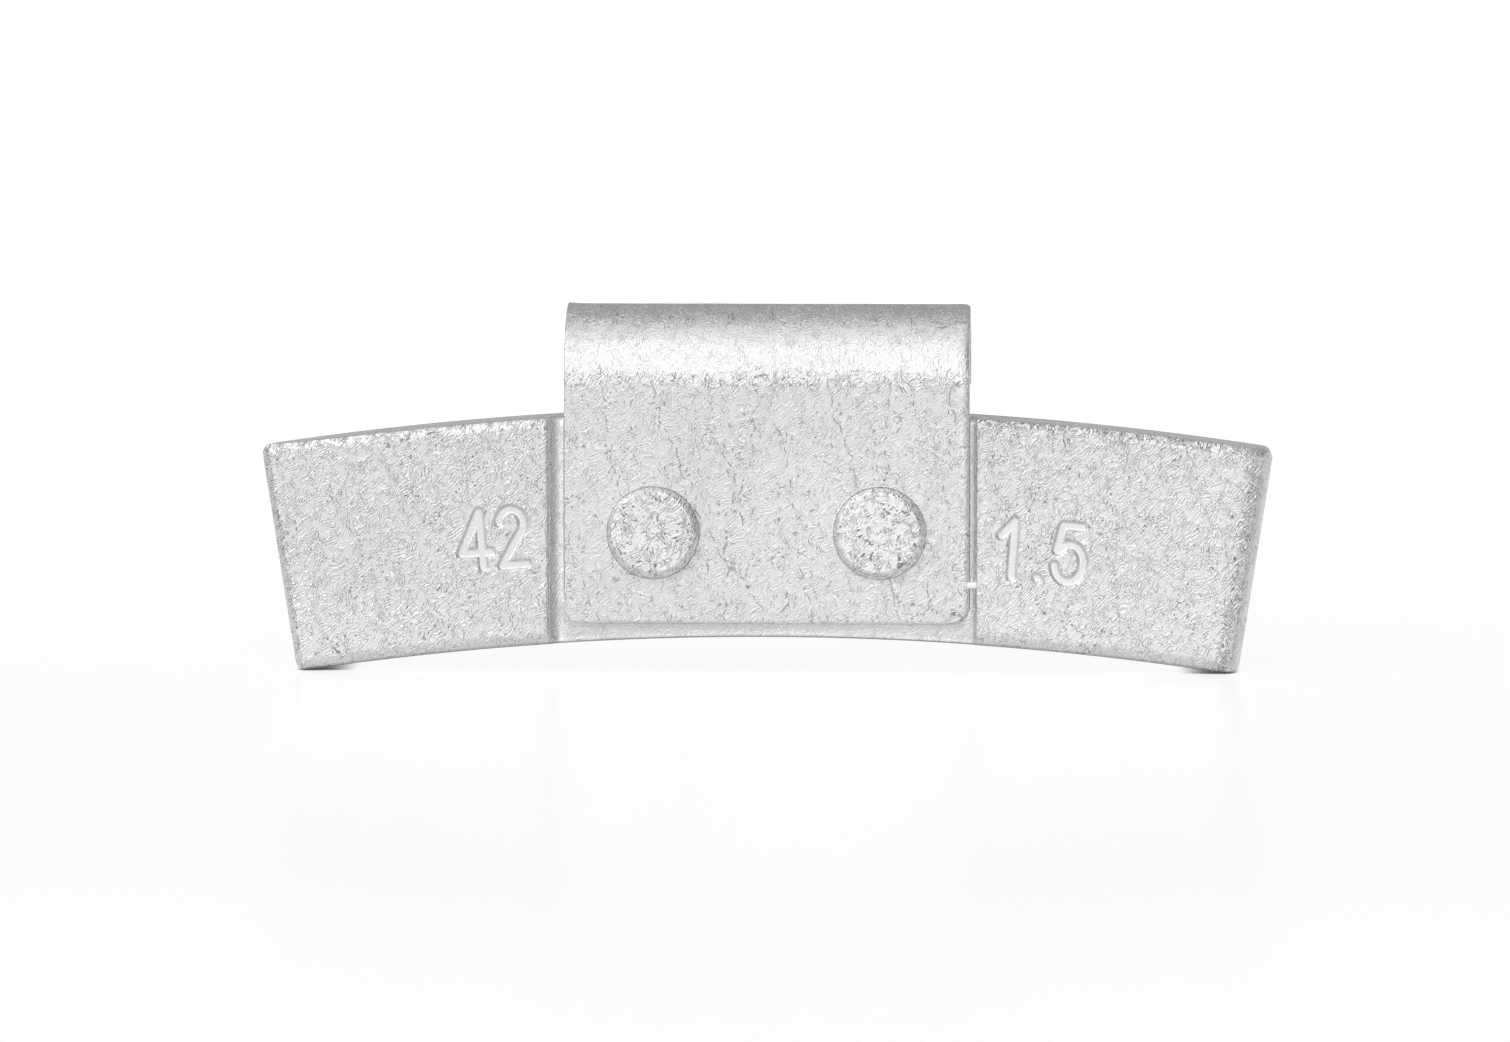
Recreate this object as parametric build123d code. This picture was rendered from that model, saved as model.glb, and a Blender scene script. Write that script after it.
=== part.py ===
from build123d import *
import math
import os

# Clip-on wheel balance weight: a pressed steel ring segment with a folded spring clip riveted to its front.
# +Z is up and the weight stands on its two lower wing tips at z = 0.
# The front, with the flat leg of the clip, faces -Y, and the hook reaches over the top towards +Y.

# Weight body
OUTER_RADIUS = 221.5
BODY_HEIGHT = 15.1
BODY_LENGTH = 67.4
BODY_THICKNESS = 5.2
TOP_ROUND = 0.55
LOWER_ROUND = 1.15
BACK_ROUND = 0.7
END_ROUND = 0.6

# Spring clip
CLIP_WIDTH = 27.0
CLIP_THICKNESS = 1.0
CLIP_FOOT_MARGIN = 0.9
CLIP_CORNER = 0.75
HOOK_RADIUS = 5.2
HOOK_RISE = 6.93
HOOK_TIP_LENGTH = 0.85
TIP_CORNER = 0.5

# Recess pressed into the front, wider and softer at its left end, with the clip's pocket in its floor
RECESS_DEPTH = 0.6
GAP_LEFT = 1.02
GAP_RIGHT = 0.48
COVE_LEFT = 0.3
COVE_RIGHT = 0.12
SHOULDER_ROUND = 0.2
POCKET_DEPTH = 0.65
POCKET_CLEARANCE = 0.05

# Rivet bosses raised from the pocket and headed over the clip
RIVET_PITCH = 15.1
RIVET_DROP = 8.1
SHANK_DIAMETER = 4.2
HOLE_CLEARANCE = 0.1
HEAD_DIAMETER = 6.15
HEAD_HEIGHT = 0.65
HEAD_ROUND = 0.3
DIMPLE_DIAMETER = 4.0
DIMPLE_DEPTH = 1.9
DIMPLE_TIP_ANGLE = 118.0

# Levels across the depth, measured from the wing face and then set so that the origin is in their middle
clip_front = RECESS_DEPTH + POCKET_DEPTH - CLIP_THICKNESS
head_front = clip_front - HEAD_HEIGHT
hook_back = clip_front + 2 * HOOK_RADIUS
wing_y = -(min(head_front, 0) + hook_back) / 2
floor_y = wing_y + RECESS_DEPTH
seat_y = floor_y + POCKET_DEPTH
back_y = wing_y + BODY_THICKNESS
clip_y = wing_y + clip_front

# Heights: the lowest points of the rounded wing tips are at zero
inner_radius = OUTER_RADIUS - BODY_HEIGHT
half_angle = math.asin(BODY_LENGTH / 2 / OUTER_RADIUS)
tip_centre_radius = inner_radius + END_ROUND
tip_centre_angle = half_angle - math.asin(END_ROUND / tip_centre_radius)
ring_z = END_ROUND - tip_centre_radius * math.cos(tip_centre_angle)
crown_z = ring_z + OUTER_RADIUS
belly_z = ring_z + inner_radius
leg_bottom = belly_z + CLIP_FOOT_MARGIN
rivet_z = crown_z - RIVET_DROP
rivet_places = [(-RIVET_PITCH / 2, rivet_z), (RIVET_PITCH / 2, rivet_z)]
wheel_axis = Axis((0, 0, ring_z), (0, 1, 0))

# Walls of the recess, each a gap away from the clip
recess_left = -CLIP_WIDTH / 2 - GAP_LEFT
recess_right = CLIP_WIDTH / 2 + GAP_RIGHT


def front_plane(y):
    """Plane facing the viewer at depth y, with its own x along X and its own y along Z."""
    return Plane(origin=(0, y, 0), x_dir=(1, 0, 0), z_dir=(0, -1, 0))


def body_section():
    """Section of the body on the centre line, with its own x along Y and its own y along Z."""
    section = Pos((wing_y + back_y) / 2, (belly_z + crown_z) / 2) * Rectangle(BODY_THICKNESS, BODY_HEIGHT)
    section = fillet(section.vertices().group_by(Axis.X)[-1], BACK_ROUND)
    section = fillet(section.vertices().group_by(Axis.X)[0].sort_by(Axis.Y)[-1], TOP_ROUND)
    return fillet(section.vertices().group_by(Axis.X)[0].sort_by(Axis.Y)[0], LOWER_ROUND)


def blank():
    """Bar swept about the wheel centre, with rounded ends."""
    sweep_angle = 2 * math.degrees(half_angle)
    bar = revolve(Plane.YZ * body_section(), wheel_axis, sweep_angle)
    bar = bar.rotate(wheel_axis, -sweep_angle / 2)
    ends = bar.faces().filter_by(GeomType.PLANE).sort_by(Axis.X)
    return fillet(ends[0].edges() + ends[-1].edges(), END_ROUND)


def recess_section():
    """Outline of the recess seen from above, with a cove at the foot of each wall."""
    middle_x = (recess_left + recess_right) / 2
    middle_y = (wing_y + floor_y) / 2
    section = Pos(middle_x, middle_y) * Rectangle(recess_right - recess_left, RECESS_DEPTH)
    section = fillet(section.vertices().group_by(Axis.Y)[-1].sort_by(Axis.X)[0], COVE_LEFT)
    return fillet(section.vertices().group_by(Axis.Y)[-1].sort_by(Axis.X)[-1], COVE_RIGHT)


def clip_pocket():
    """Seat of the clip in the recess floor, with the outline of its leg and a clearance round it."""
    half_width = CLIP_WIDTH / 2 + POCKET_CLEARANCE
    foot_z = leg_bottom - POCKET_CLEARANCE
    outline = Pos(0, foot_z) * Rectangle(2 * half_width, crown_z, align=(Align.CENTER, Align.MIN))
    outline = fillet(outline.vertices().group_by(Axis.Y)[0], CLIP_CORNER + POCKET_CLEARANCE)
    return extrude(front_plane(seat_y) * outline, POCKET_DEPTH)


def rivet():
    """One boss: shank from the pocket through the clip, and the flat head upset over it."""
    shank = extrude(front_plane(seat_y) * Circle(SHANK_DIAMETER / 2), CLIP_THICKNESS)
    head = extrude(front_plane(clip_y) * Circle(HEAD_DIAMETER / 2), HEAD_HEIGHT)
    rim = head.faces().sort_by(Axis.Y)[0].edges()
    return shank + fillet(rim, HEAD_ROUND)


def punch_dimple():
    """Cut left in the back by the punch that raised a boss, with a cone at its bottom."""
    radius = DIMPLE_DIAMETER / 2
    cone_depth = radius / math.tan(math.radians(DIMPLE_TIP_ANGLE / 2))
    tip_depth = DIMPLE_DEPTH + cone_depth
    profile = Polyline((0, 0), (radius, 0), (radius, DIMPLE_DEPTH), (0, tip_depth), close=True)
    cutter = revolve(make_face(profile), Axis.Y)
    return Rot(0, 0, 180) * cutter


def weight_body():
    body = blank() - extrude(recess_section(), 2 * crown_z)
    walls = body.faces().filter_by(Plane.YZ)
    shoulders = [edge for wall in walls for edge in wall.edges().sort_by(Axis.Y)[:-1]]
    body = fillet(shoulders, SHOULDER_ROUND) - clip_pocket()
    for x, z in rivet_places:
        body += Pos(x, 0, z) * rivet()
        body -= Pos(x, back_y, z) * punch_dimple()
    return body


def rim_clip():
    """Strip folded from a flat leg into a half-round hook, with the rivet holes through the leg."""
    bend_z = crown_z + HOOK_RISE - HOOK_RADIUS
    tip_z = bend_z - HOOK_TIP_LENGTH
    hook_y = clip_y + 2 * HOOK_RADIUS
    inner_bend = HOOK_RADIUS - CLIP_THICKNESS
    outer_front = Line((clip_y, leg_bottom), (clip_y, bend_z))
    outer_bend = ThreePointArc(
        outer_front @ 1, (clip_y + HOOK_RADIUS, bend_z + HOOK_RADIUS), (hook_y, bend_z)
    )
    outer_back = Line(outer_bend @ 1, (hook_y, tip_z))
    tip = Line(outer_back @ 1, (hook_y - CLIP_THICKNESS, tip_z))
    inner_back = Line(tip @ 1, (hook_y - CLIP_THICKNESS, bend_z))
    inner_arc = ThreePointArc(
        inner_back @ 1, (clip_y + HOOK_RADIUS, bend_z + inner_bend), (seat_y, bend_z)
    )
    inner_front = Line(inner_arc @ 1, (seat_y, leg_bottom))
    foot = Line(inner_front @ 1, outer_front @ 0)
    section = make_face([outer_front, outer_bend, outer_back, tip, inner_back, inner_arc, inner_front, foot])
    strip = extrude(Plane.YZ * section, CLIP_WIDTH / 2, both=True)
    across = strip.edges().filter_by(Axis.Y)
    strip = fillet(across.group_by(Axis.Z)[0], CLIP_CORNER)
    across = strip.edges().filter_by(Axis.Y)
    strip = fillet(across.group_by(Axis.Y)[-1], TIP_CORNER)
    for x, z in rivet_places:
        hole = extrude(front_plane(seat_y) * Circle(SHANK_DIAMETER / 2 + HOLE_CLEARANCE), CLIP_THICKNESS)
        strip -= Pos(x, 0, z) * hole
    return strip


os.makedirs("parts", exist_ok=True)
export_step(weight_body(), "parts/weight_body.step")
export_step(rim_clip(), "parts/rim_clip.step")
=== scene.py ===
import math

import bpy
import numpy as np
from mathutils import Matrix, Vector, noise


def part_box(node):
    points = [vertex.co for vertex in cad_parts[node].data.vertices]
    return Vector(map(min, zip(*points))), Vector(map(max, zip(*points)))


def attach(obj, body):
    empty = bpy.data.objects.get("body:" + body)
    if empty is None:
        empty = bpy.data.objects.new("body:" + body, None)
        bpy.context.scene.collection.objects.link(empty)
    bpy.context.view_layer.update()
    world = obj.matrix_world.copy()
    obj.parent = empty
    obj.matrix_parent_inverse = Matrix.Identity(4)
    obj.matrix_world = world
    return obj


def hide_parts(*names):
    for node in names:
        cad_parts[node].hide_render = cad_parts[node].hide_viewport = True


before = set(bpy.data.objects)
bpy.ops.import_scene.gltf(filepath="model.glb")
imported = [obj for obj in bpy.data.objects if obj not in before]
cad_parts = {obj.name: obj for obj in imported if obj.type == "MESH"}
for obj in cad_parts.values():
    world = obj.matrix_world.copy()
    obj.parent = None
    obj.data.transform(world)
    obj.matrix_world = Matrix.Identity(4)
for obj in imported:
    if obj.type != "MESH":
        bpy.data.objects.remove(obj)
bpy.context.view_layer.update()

# Clip-on wheel balance weight: a ring segment in a silver zinc coat, with a folded spring clip riveted on
# its front. Sizes are in millimetres in the frame of the solids, and the meshes are made in metres.
MM = 0.001

# Weight body. A bevel is a height, a depth and a power, and a front edge of an end is a width, a depth and
# a power: 2 makes it round and 1 makes it flat. The top's front edge rises towards the left end.
OUTER_RADIUS = 221.5
BODY_HEIGHT = 15.1
BODY_LENGTH = 67.4
BODY_THICKNESS = 5.2
TOP_BEVEL = (0.6, 0.3, 1.3)
LOWER_BEVEL = (0.85, 0.4, 1.5)
BACK_ROUND = 0.7
LEFT_END_ROUND = 0.64
RIGHT_END_ROUND = 0.6
LOW_END_ROUND = 0.75
LEFT_FRONT_EDGES = [(0.5, 0.4, 1.06), (0.2, 0.2, 2.0)]
RIGHT_FRONT_EDGES = [(1.6, 0.5, 1.15), (0.6, 0.9, 1.1)]
LEFT_RISE = 0.32
RIGHT_RISE = 0.0
RISE_REACH = 2.2
LEAST_ROUND = 0.03

# Recess in the front: its walls, the width and height of each cove and shoulder, and its other edges
RECESS_DEPTH = 0.6
RECESS_LEFT = -14.52
RECESS_RIGHT = 13.98
WALL_DRAFT = 0.03
LEFT_COVE = (0.95, 0.36)
RIGHT_COVE = (0.36, 0.3)
LEFT_SHOULDER = (0.45, 0.24)
RIGHT_SHOULDER = (0.12, 0.12)
RECESS_TOP_EDGE = 0.35
RECESS_LOW_EDGE = 0.12
LIP_FLARE = 0.03
LIP_RISE = 0.3
POCKET_CLEARANCE = 0.035
CUT_MARGIN = 1.0

# Rivets: the groove round each head is a width and a depth, and the unevenness of the head is a list of
# sizes and shares of its relief. A dimple lies behind each.
RIVET_PITCH = 15.1
RIVET_DROP = 8.1
SHANK_RADIUS = 2.1
SHANK_ROOT = 0.5
HEAD_RADIUS = 3.05
FACE_RADIUS = 2.66
FACE_SHIFT = (-0.09, 0.0, 0.07)
RIM_DROP = 0.3
RIM_POWER = 1.25
HEAD_GROOVE = (0.06, 0.12)
HEAD_RELIEF = 0.03
HEAD_WAVES = [(0.9, 0.6), (0.35, 0.3)]
DIMPLE_RADIUS = 2.0
DIMPLE_DEPTH = 1.9
DIMPLE_TIP_DEPTH = 3.1

# Spring clip: the width and depth of its worn edges, and the sag of the strip between them in the bend
CLIP_THICKNESS = 1.0
CLIP_CORNER = 1.05
LEFT_EDGE = (0.11, 0.11)
RIGHT_EDGE = (0.7, 0.28)
FOOT_EDGE = (0.25, 0.12)
BACK_EDGE = 0.1
TIP_EDGE = 0.12
TIP_LENGTH = 0.85
TIP_CORNER = 0.5
BEND_SAG = 0.06
SAG_REACH = 0.7
HOLE_RADIUS = 2.2

# Mass numbers pressed into the wings: each place is the lower left corner, along the arc and out from the
# wheel centre
NUMBER_HEIGHT = 4.3
NUMBER_DEPTH = 0.17
NUMBER_SLOPE = 0.22
NUMBER_LIP = 0.012
NUMBER_SPAN = 6.6
NUMBER_LEAD = 0.3
NUMBER_MARGIN = 0.5
STROKE = 0.6
OUNCES_PLACE = (15.44, 210.9)
GRAMS_PLACE = (-20.7, 211.6)
GRAMS_WIDTH = 4.9

# Thread of coat that bridges the narrow gap beside the clip: its roots in the clip and in the wing, and the
# share and power of the flare at its ends
BRIDGE_DROP = 11.58
BRIDGE_RADIUS = 0.24
BRIDGE_ROOTS = (0.3, 0.15)
BRIDGE_SINK = 0.08
BRIDGE_SQUARENESS = 4
BRIDGE_FLARE = (0.4, 4)

# Coat drawn up against the foot of the clip: the width and height of its wedge, its run up the left side,
# and the share, size and seed of its unevenness
FILLET = (0.4, 0.15)
FILLET_SIDE = 1.2
FILLET_TAPER = 1.2
FILLET_ROOT = 0.1
FILLET_HOLLOW = 1.3
FILLET_UNEVEN = (0.25, 1.5, 17.0)

# Swells of the coat: height, size and seed
BODY_SWELL = (0.006, 1.6, 3.0)
CLIP_SWELL = (0.012, 2.5, 7.0)

# Meshes: lengths of steps, counts of steps and points, insets of the caps, and the angle of a sharp edge
COARSE_STEP = 0.3
LIP_STEP = 0.1
FINE_STEP = 0.062
CLIP_STEP = 0.2
EDGE_GUARD = 0.05
ARC_STEPS = 7
WALL_STEPS = 3
FLOOR_COLUMNS = 59
TOP_STEPS = 9
BACK_STEPS = 24
POCKET_STEPS = 8
FOOT_POINTS = 13
TIP_POINTS = 11
EDGE_STEPS = 6
SIDE_STEPS = 4
TURN_COUNT = 64
FINE_TURN_COUNT = 128
FACE_POINTS = 27
RIM_STEPS = 12
BRIDGE_TURNS = 32
BRIDGE_RINGS = 13
FILLET_SIDE_STEPS = 6
FILLET_CORNER_POINTS = 13
FILLET_FOOT_STEPS = 81
WEDGE_POINTS = 7
BODY_CAP = 0.2
CLIP_CAP = 0.1
BRIDGE_CAP = 0.1
FILLET_CAP = 0.02
SHARP_ANGLE = math.radians(75)

# Tones of the coat
BODY_TONE = (0.812, 0.81, 0.813)
CLIP_TONE = (0.79, 0.788, 0.791)
RIVET_TONE = (0.855, 0.853, 0.856)
# Tone that the painted shade tints the coat towards, a little lilac
PAINTED_SHADE_TONE = (0.735, 0.728, 0.752)
COAT_METALLIC = 0.75
COAT_ROUGHNESS = 0.38

# How much texture the coat shows in each place, and how much painted shade it gets there, a negative amount
# being a painted highlight. A band along an end is its middle and its width, and the places round the bend
# are counted in its bands.
FRONT_REACH = 1.6
# Painted shade on the lip of the recess below the clip
LIP_PAINTED_SHADE = 0.5
# Painted shade in the right gap, and in the left gap a painted shadow of the wing's wall that fades towards
# the clip
RIGHT_GAP_PAINTED_SHADE = 0.6
LEFT_GAP_START = 0.1
LEFT_GAP_FADE = 0.6
# Painted shade under the body's front edge
UNDER_PAINTED_SHADE = 3.0
UNDER_BAND = 0.2
# Painted shade towards the top of the front and up the clip's leg
UPPER_PAINTED_SHADE = 0.28
LEFT_TOP_TEXTURE = 0.2
RIGHT_TOP_TEXTURE = 1.0
TOP_BAND = 0.8
LEFT_END_TEXTURE = 1.2
LEFT_END_BAND = (0.5, 0.15)
RIGHT_END_TEXTURE = 1.2
RIGHT_END_BAND = (1.1, 0.55)
# Darker band along the right end
RIGHT_END_DARKENING = 0.4
# Painted highlight on the right end's rim
RIGHT_RIM_PAINTED_HIGHLIGHT = 1.1
RIGHT_RIM_BAND = 0.5
RECESS_TEXTURE = 0.5
NUMBER_SMOOTH = 0.9
BEND_BAND = 0.55
BEND_ROUGH = 1.0
BEND_ROUGH_PLACE = 0.5
BEND_SMOOTH = 0.35
BEND_SMOOTH_START = 1.2
# Where the clip's painted shade fades out round the bend
BEND_PAINTED_SHADE_END = 1
BEND_TOP = 1.0
BEND_TOP_BAND = 0.8
BEND_TOP_START = 2
# Painted highlight on the bridge
BRIDGE_PAINTED_HIGHLIGHT = 0.6
FILLET_TEXTURE = 0.6

# Marks of the coat: scales are in cells per millimetre, and limits are where a mark starts and where it is
# full
STROKE_LEAN = -0.87
WARP_SCALE = 0.6
WARP_REACH = 1.4
WEAVE_BEND = 5.0
WEAVE_DETAIL_SCALE = 1.1
STRAND_STRETCH = 2.0
STRAND_SCALE = 2.8
STRAND_LIMITS = (0.4, 0.6)
WORM_STRETCH = 2.2
WORM_SCALE = 3.6
WORM_BEND = 0.5
RIDGE_MIDDLE = 0.5
RIDGE_LIMITS = (0.07, 0.015)
GROOVE_MIDDLE = 0.59
GROOVE_LIMITS = (0.05, 0.01)
PATCH_SCALE = 1.9
WORM_PATCH = (0.36, 0.5)
HAIR_PATCH = (0.54, 0.6)
HAIR_WIDTH = 0.03
HAIR_CORE = 0.2
SCRATCH_LEAN = -0.25
SCRATCH_STRETCH = 5
SCRATCH_SCALE = 0.2
SCRATCH_LIMITS = (0.008, 0.002)
BREAK_SCALE = 2.6
BREAK_LIMITS = (0.46, 0.56)
CLUSTER_SCALE = 0.7
CLUSTER_LIMITS = (0.46, 0.58)
COARSE_LIMITS = (1.3, 1.9)
ROUGH_LIMITS = (0.5, 0.9)
SPECK_STRETCH = 1.6
SPECK_SCALE = 5.6
SPECK_LIMITS = (0.64, 0.7)
DRIFT_SCALE = 0.16
DRIFT_DETAIL = 2.0

# What the marks do to the height of the coat, as shares of its relief, and to its shade. The shades of the
# streaks and of smooth places go from one limit and shade to another.
STREAK_HEIGHT = 0.3
STROKE_HEIGHT = 0.4
CREASE_HEIGHT = -0.12
DENT_HEIGHT = -0.3
SPECK_HEIGHT = -0.6
DRIFT_SHADE = (0.14, 0.93)
# Painted shade in the troughs of the streaks and a lighter tone on their crests
STREAK_PAINTED_SHADE = (0.1, 0.9, 0.93, 1.05)
# Painted sheen: smooth places, such as the floors of the numbers and the bridge, are painted a little
# lighter
SMOOTH_PAINTED_SHEEN = (0.1, 0.5, 1.04, 1.0)
# Painted shadow in the creases beside the strokes
CREASE_PAINTED_SHADOW = -0.07
DENT_SHADE = -0.42
SPECK_SHADE = -0.6
# Painted shade stored on the points darkens the coat by this share of its amount
PAINTED_SHADE_FACTOR = -0.14

# Studio, in metres: the floor, the grey cards that the metal reflects, and each lamp's place, size and level
WORLD_FILL = 0.55
FLOOR_SIZE = 4.0
FLOOR_TONE = 0.1
FLOOR_ROUGHNESS = 0.3
FLOOR_GLOSS = 0.04
# Glow of the floor near the object and far from it; the lower glow near it is a faint painted shade
FLOOR_LIFT = 0.8
BACKDROP_LIFT = 0.95
LIFT_LIMITS = (0.04, 0.35)
# Painted contact shadow on the floor: reach of the occlusion, its limits and the glow left at full contact
CONTACT_REACH = 0.0006
CONTACT_LIMITS = (0.1, 0.7)
CONTACT_SHADE = 0.08
CEILING_CARD = [(-3, 0.27, 1.4), (3, 0.27, 1.4), (3, 6, 1.0), (-3, 6, 1.0)]
CEILING_LEVEL = 0.31
RIGHT_CARD = [(0.85, -1.3), (1.4, 0.05)]
RIGHT_LEVEL = 0.15
LEFT_CARD = [(-1.5, -0.5), (-1.5, 1.2)]
LEFT_LEVEL = 0.12
CARD_HEIGHT = 2.0
KEY_LAMP = ((-1.15, -0.8, 1.0), (1.3, 1.3), 1.8)
TOP_LAMP = ((-0.1, -0.95, 1.2), (1.1, 0.8), 0.6)
FILL_LAMP = ((0.4, -1.75, 0.45), (0.8, 0.8), 1.7)

# Camera, from the perspective of the photograph
PHOTO_WIDTH = 1510
FOCAL_PIXELS = 7798.9
SENSOR_WIDTH = 36.0
CAMERA_AZIMUTH = 2.213
CAMERA_ELEVATION = 5.2
CAMERA_DISTANCE = 518.7
CAMERA_TARGET = (-0.754, -5.175, 10.148)
NEAREST_VIEW = 10.0

# Places worked out from the solids
body_low, body_high = (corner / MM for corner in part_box("weight_body"))
clip_low, clip_high = (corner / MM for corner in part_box("rim_clip"))
head_y = body_low.y
back_y = body_high.y
wing_y = back_y - BODY_THICKNESS
clip_y = clip_low.y
seat_y = clip_y + CLIP_THICKNESS
crown_z = body_high.z
ring_z = crown_z - OUTER_RADIUS
rivet_z = crown_z - RIVET_DROP
inner_radius = OUTER_RADIUS - BODY_HEIGHT
middle_radius = OUTER_RADIUS - BODY_HEIGHT / 2
half_angle = math.asin(BODY_LENGTH / 2 / OUTER_RADIUS)
end_x = middle_radius * math.sin(half_angle)
hook_radius = (clip_high.y - clip_y) / 2
bend_y = clip_y + hook_radius
bend_z = clip_high.z - hook_radius
rivet_places = [(-RIVET_PITCH / 2, rivet_z), (RIVET_PITCH / 2, rivet_z)]


def spans(stops, steps):
    """Places along a line that is cut into spans at the stops, each divided evenly at about its own step."""
    parts = []
    for start, stop, step in zip(stops, stops[1:], steps):
        count = max(1, round(abs(stop - start) / step))
        parts.append(np.linspace(start, stop, count, endpoint=False))
    return np.concatenate(parts + [np.array([stops[-1]])])


def quarter(count=ARC_STEPS):
    """Angles of a quarter turn without its start."""
    return np.linspace(0, math.pi / 2, count + 1)[1:]


def bevel_arc(turns, power):
    """Shares of a quarter turn across a corner and down it; a power of 2 makes it round and one of 1 makes
    it a flat bevel."""
    return 1 - np.cos(turns) ** (2 / power), 1 - np.sin(turns) ** (2 / power)


def corner_loss(distance, width, depth, power=2.0):
    """How far a corner worn over that width and depth is drawn in, at a distance from its end; a power of 2
    makes it round and one of 1 makes it a flat bevel."""
    near = np.clip(1 - distance / width, 0, 1)
    return depth * (1 - (1 - near ** power) ** (1 / power))


def smooth_step(value):
    value = np.clip(value, 0, 1)
    return value * value * (3 - 2 * value)


def undulation(x, z, size, seed):
    """Gentle swells of the coat between -1 and 1."""
    heights = [noise.noise(Vector((a / size, seed, b / size))) for a, b in zip(x.ravel(), z.ravel())]
    return np.array(heights).reshape(x.shape)


def make_object(name, points, faces):
    """Smooth mesh object from points in millimetres."""
    mesh = bpy.data.meshes.new(name)
    mesh.from_pydata((np.asarray(points) * MM).tolist(), [], faces)
    mesh.update()
    mesh.shade_smooth()
    piece = bpy.data.objects.new(name, mesh)
    bpy.context.scene.collection.objects.link(piece)
    return piece


def tube(name, rings):
    """Closed tube through rings of points, with a flat cap on each end."""
    size = len(rings[0])
    faces = []
    for here in range(0, (len(rings) - 1) * size, size):
        for point in range(size):
            after = (point + 1) % size
            faces.append((here + point, here + after, here + size + after, here + size + point))
    last = (len(rings) - 1) * size
    faces.append(tuple(reversed(range(size))))
    faces.append(tuple(range(last, last + size)))
    return make_object(name, np.concatenate(rings), faces)


def inset_ring(ring, distance):
    """Copy of a ring of points, drawn in towards its middle."""
    inward = ring.mean(axis=0) - ring
    length = np.linalg.norm(inward, axis=1, keepdims=True)
    return ring + inward / length * np.minimum(distance, length / 2)


def capped_tube(name, rings, cap_inset):
    """Closed tube whose flat caps start at a ring inside each end, so that its rim shades cleanly."""
    first, last = inset_ring(rings[0], cap_inset), inset_ring(rings[-1], cap_inset)
    return tube(name, [first] + list(rings) + [last])


def cut(piece, cutters):
    """Takes the cutters out of a piece, deletes them and keeps the cut edges sharp."""
    for cutter in cutters:
        step = piece.modifiers.new("cut", "BOOLEAN")
        step.operation = "DIFFERENCE"
        step.solver = "EXACT"
        step.object = cutter
    graph = bpy.context.evaluated_depsgraph_get()
    mesh = bpy.data.meshes.new_from_object(piece.evaluated_get(graph))
    piece.modifiers.clear()
    piece.data = mesh
    mesh.set_sharp_from_angle(angle=SHARP_ANGLE)
    for cutter in cutters:
        bpy.data.objects.remove(cutter)


def lathe(name, profile, place, count=TURN_COUNT):
    """Solid turned about a line along Y through a place, from a profile of (radius, y) that starts and ends
    on that line."""
    x, z = place
    turns = np.linspace(0, 2 * math.pi, count, endpoint=False)
    points = [(x, profile[0][1], z)]
    for radius, y in profile[1:-1]:
        points += [(x + radius * math.sin(turn), y, z + radius * math.cos(turn)) for turn in turns]
    points.append((x, profile[-1][1], z))
    rings = len(profile) - 2
    last = 1 + (rings - 1) * count
    faces = []
    for turn in range(count):
        after = (turn + 1) % count
        faces.append((0, 1 + after, 1 + turn))
        for here in range(1, last, count):
            faces.append((here + turn, here + after, here + count + after, here + count + turn))
        faces.append((last + turn, last + after, len(points) - 1))
    return make_object(name, points, faces)


# Strokes of the numbers, as centre lines in millimetres from the lower left corner
def arc_stroke(centre, radii, start, stop, count=28):
    angles = np.radians(np.linspace(start, stop, count))
    return [(centre[0] + radii[0] * math.cos(a), centre[1] + radii[1] * math.sin(a)) for a in angles]


low = STROKE / 2
high = NUMBER_HEIGHT - STROKE / 2
one = [[(0.2, high - 1.0), (1.05, high), (1.05, low)]]
point = [[(2.79, low + 0.06), (2.81, low + 0.06)]]
five = [[(5.5, high), (4.27, high), (3.97, 2.3)] + arc_stroke((4.825, 1.5), (0.965, 1.24), 140, -170)]
four = [[(1.62, low), (1.62, high), (0.24, 1.3), (2.2, 1.3)]]
two = [arc_stroke((3.7, high - 0.94), (0.8, 0.94), 170, -38) + [(2.9, low), (4.55, low)]]


def stroke_distance(u, w, strokes):
    """Distance of points from the centre lines of strokes."""
    nearest = np.full(u.shape, np.inf)
    for stroke in strokes:
        for (ax, ay), (bx, by) in zip(stroke, stroke[1:]):
            dx, dy = bx - ax, by - ay
            along = np.clip(((u - ax) * dx + (w - ay) * dy) / (dx * dx + dy * dy), 0, 1)
            nearest = np.minimum(nearest, np.hypot(u - ax - along * dx, w - ay - along * dy))
    return nearest


def number_press(x, z):
    """Depth of the pressed numbers at points of the front, and how far each is inside their strokes."""
    angle = np.arctan2(x, z - ring_z)
    radius = np.hypot(x, z - ring_z)
    depth = np.zeros(x.shape)
    inside = np.zeros(x.shape)
    for (along, out), strokes in ((OUNCES_PLACE, one + point + five), (GRAMS_PLACE, four + two)):
        distance = stroke_distance(middle_radius * angle - along, radius - out, strokes)
        within = smooth_step((STROKE / 2 + NUMBER_SLOPE / 2 - distance) / NUMBER_SLOPE)
        edge = (distance - STROKE / 2 - NUMBER_SLOPE) / NUMBER_SLOPE
        depth += NUMBER_DEPTH * within - NUMBER_LIP * np.exp(-edge * edge)
        inside += within
    return depth, inside


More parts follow.
